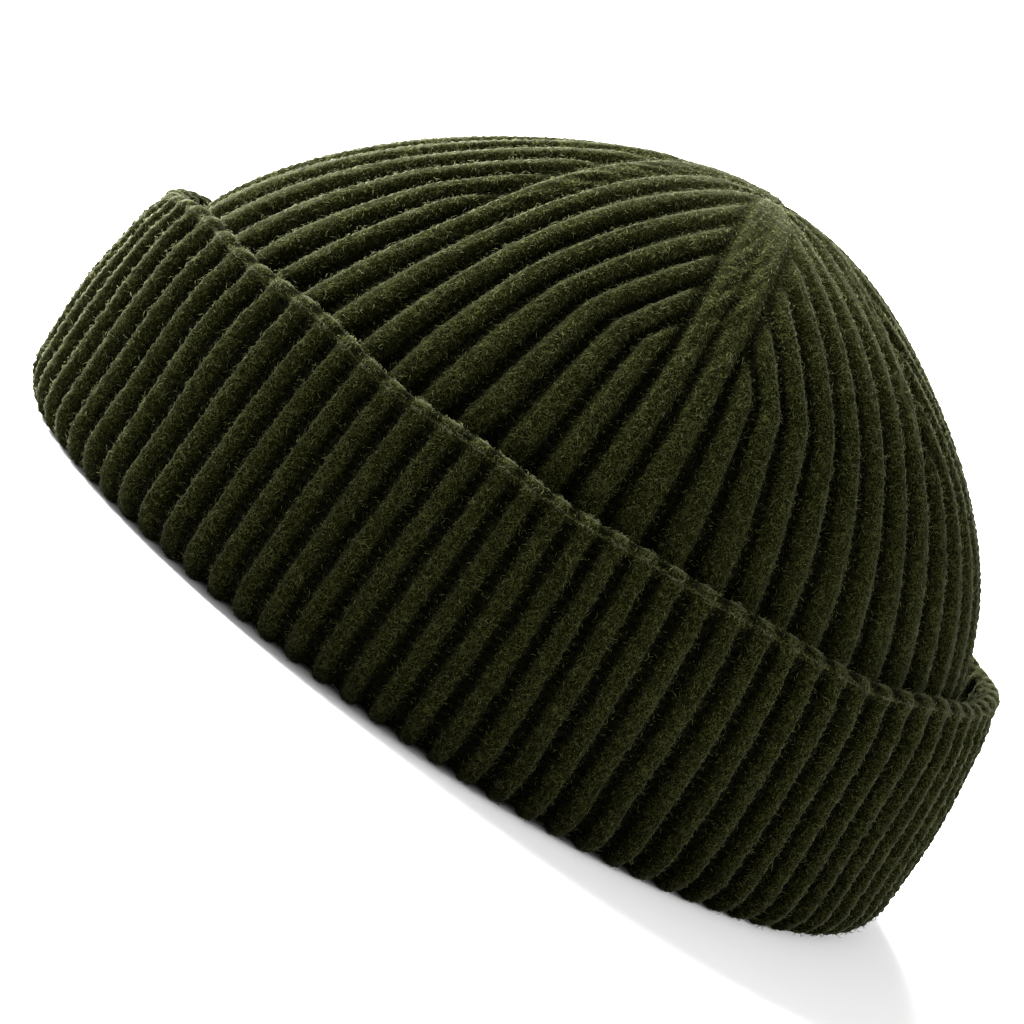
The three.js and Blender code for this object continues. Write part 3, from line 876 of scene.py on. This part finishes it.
class BEANIE_OT_cuff(bpy.types.Operator):
    """Makes the turned-up cuff"""

    bl_idname = "beanie.cuff"
    bl_label = "Cuff"

    def execute(self, context):
        obj = build_cuff(context.scene.beanie_knit)
        dress(obj, cloth_material())
        return {"FINISHED"}


class BEANIE_OT_crown(bpy.types.Operator):
    """Makes the ribbed dome"""

    bl_idname = "beanie.crown"
    bl_label = "Crown"

    def execute(self, context):
        obj = build_crown(context.scene.beanie_knit)
        dress(obj, cloth_material())
        return {"FINISHED"}


class BEANIE_OT_nap(bpy.types.Operator):
    """Makes the loose fibres on the crown and the cuff"""

    bl_idname = "beanie.nap"
    bl_label = "Loose fibres"

    def execute(self, context):
        nap = context.scene.beanie_nap
        rim = CUFF_HIGH[2]

        def on_cuff(middle, normal):
            outside = (normal[:, :2] * middle[:, :2]).sum(axis=1) > 0
            behind = middle[:, 2] > NAP_STARTS["behind the cuff"] * rim
            return (outside | behind) & (middle[:, 2] > 0.0005)

        def on_crown(middle, normal):
            outside = (normal * (middle - [0, 0, 0.4 * rim])).sum(axis=1) > 0
            return outside & (middle[:, 2] > NAP_STARTS["crown"] * rim)

        for name, seed, keep in (("cuff", 101, on_cuff), ("crown", 102, on_crown)):
            knit = bpy.data.objects.get(name + "_knit")
            if knit is None:
                raise RuntimeError(name + "_knit has to be made before its fibres")
            for layer in NAP_LAYERS:
                obj = nap_fibres(knit, name + "_nap_" + layer["label"], nap.count,
                                 seed + layer["seed"], keep, nap, layer["stretch"])
                dress(obj, nap_material())
        return {"FINISHED"}


class BEANIE_OT_stage(bpy.types.Operator):
    """Makes the floor, the lights and the camera"""

    bl_idname = "beanie.stage"
    bl_label = "Stage"

    def execute(self, context):
        stage = context.scene.beanie_stage
        add_floor(FLOOR_HALF)
        add_camera(stage)
        add_sky(stage.sky)
        for light, power in zip(LIGHTS, (stage.key_power, stage.fill_power)):
            add_light(light["name"], light["place"], light["size"], power)
        context.scene.view_settings.view_transform = "Standard"
        return {"FINISHED"}


def add_floor(half):
    """A plain pale floor at the height that the hat rests on. It throws back less light than it
    shows, so that the hat's near side stays as dark as in a studio with black flags."""
    mesh = bpy.data.meshes.new("floor")
    corners = [(-half, -half, 0), (half, -half, 0), (half, half, 0), (-half, half, 0)]
    mesh.from_pydata(corners, [], [(0, 1, 2, 3)])
    floor = bpy.data.objects.new("floor", mesh)
    bpy.context.scene.collection.objects.link(floor)
    material = bpy.data.materials.new("floor_white")
    material.use_nodes = True
    tree = material.node_tree
    shader = tree.nodes["Principled BSDF"]
    seen = add_node(tree, "ShaderNodeLightPath").outputs["Is Camera Ray"]
    dim, pale = tree.nodes.new("ShaderNodeRGB"), tree.nodes.new("ShaderNodeRGB")
    dim.outputs[0].default_value = (FLOOR_BOUNCE, FLOOR_BOUNCE, FLOOR_BOUNCE, 1)
    pale.outputs[0].default_value = (FLOOR_SEEN, FLOOR_SEEN, FLOOR_SEEN, 1)
    colour = mix_colours(tree, seen, dim.outputs[0], pale.outputs[0])
    tree.links.new(colour, shader.inputs["Base Color"])
    shader.inputs["Roughness"].default_value = 1.0
    shader.inputs["Specular IOR Level"].default_value = 0.0
    mesh.materials.append(material)


def add_camera(stage):
    """The camera on a turntable round the hat: back is the way from the target to the camera, and
    the picture is rolled about it."""
    azimuth, elevation, roll = np.radians([stage.azimuth, stage.elevation, stage.roll])
    back = Vector((np.sin(azimuth) * np.cos(elevation), -np.cos(azimuth) * np.cos(elevation),
                   np.sin(elevation)))
    right = Vector((np.cos(azimuth), np.sin(azimuth), 0))
    up = back.cross(right)
    target = right * stage.aim_right + Vector((0, 0, stage.aim_height))
    across = right * np.cos(roll) + up * np.sin(roll)
    upright = up * np.cos(roll) - right * np.sin(roll)
    data = bpy.data.cameras.new("camera")
    data.sensor_width = 36.0
    data.lens = stage.focal_pixels / 1024 * data.sensor_width
    data.clip_end = 50
    camera = bpy.data.objects.new("camera", data)
    turn = Matrix((across, upright, back)).transposed().to_4x4()
    camera.matrix_world = Matrix.Translation(target + back * stage.distance) @ turn
    bpy.context.scene.collection.objects.link(camera)
    bpy.context.scene.camera = camera


def add_sky(strength):
    """Plain white surroundings."""
    world = bpy.data.worlds.new("studio")
    world.use_nodes = True
    background = world.node_tree.nodes["Background"]
    background.inputs["Color"].default_value = (1, 1, 1, 1)
    background.inputs["Strength"].default_value = strength
    bpy.context.scene.world = world


def add_light(name, place, size, power):
    """A square area light turned to the middle of the hat."""
    data = bpy.data.lights.new(name, "AREA")
    data.size = size
    data.energy = power
    light = bpy.data.objects.new(name, data)
    middle = Vector((0, 0, CROWN_HIGH[2] / 2))
    towards = middle - Vector(place)
    light.matrix_world = (Matrix.Translation(Vector(place))
                          @ towards.to_track_quat("-Z", "Y").to_matrix().to_4x4())
    bpy.context.scene.collection.objects.link(light)


class BEANIE_PT_panel(bpy.types.Panel):
    """Lists the beanie's pieces and its sizes"""

    bl_label = "Beanie"
    bl_idname = "BEANIE_PT_panel"
    bl_space_type = "VIEW_3D"
    bl_region_type = "UI"
    bl_category = "Beanie"

    def draw(self, context):
        for operator in OPERATORS:
            self.layout.operator(operator.bl_idname)
        for group in ("beanie_knit", "beanie_nap", "beanie_colours", "beanie_stage"):
            values = getattr(context.scene, group)
            for key in values.__annotations__:
                self.layout.prop(values, key)


OPERATORS = (BEANIE_OT_cuff, BEANIE_OT_crown, BEANIE_OT_nap, BEANIE_OT_stage)
GROUPS = (BeanieKnit, BeanieNap, BeanieColours, BeanieStage)


def register():
    for cls in GROUPS + OPERATORS + (BEANIE_PT_panel,):
        bpy.utils.register_class(cls)
    bpy.types.Scene.beanie_knit = PointerProperty(type=BeanieKnit)
    bpy.types.Scene.beanie_nap = PointerProperty(type=BeanieNap)
    bpy.types.Scene.beanie_colours = PointerProperty(type=BeanieColours)
    bpy.types.Scene.beanie_stage = PointerProperty(type=BeanieStage)


def unregister():
    for name in ("beanie_stage", "beanie_colours", "beanie_nap", "beanie_knit"):
        delattr(bpy.types.Scene, name)
    for cls in (BEANIE_PT_panel,) + OPERATORS[::-1] + GROUPS[::-1]:
        bpy.utils.unregister_class(cls)


def main():
    """Makes every piece in order."""
    register()
    bpy.ops.beanie.stage()
    bpy.ops.beanie.cuff()
    bpy.ops.beanie.crown()
    bpy.ops.beanie.nap()


if __name__ == "__main__":
    main()
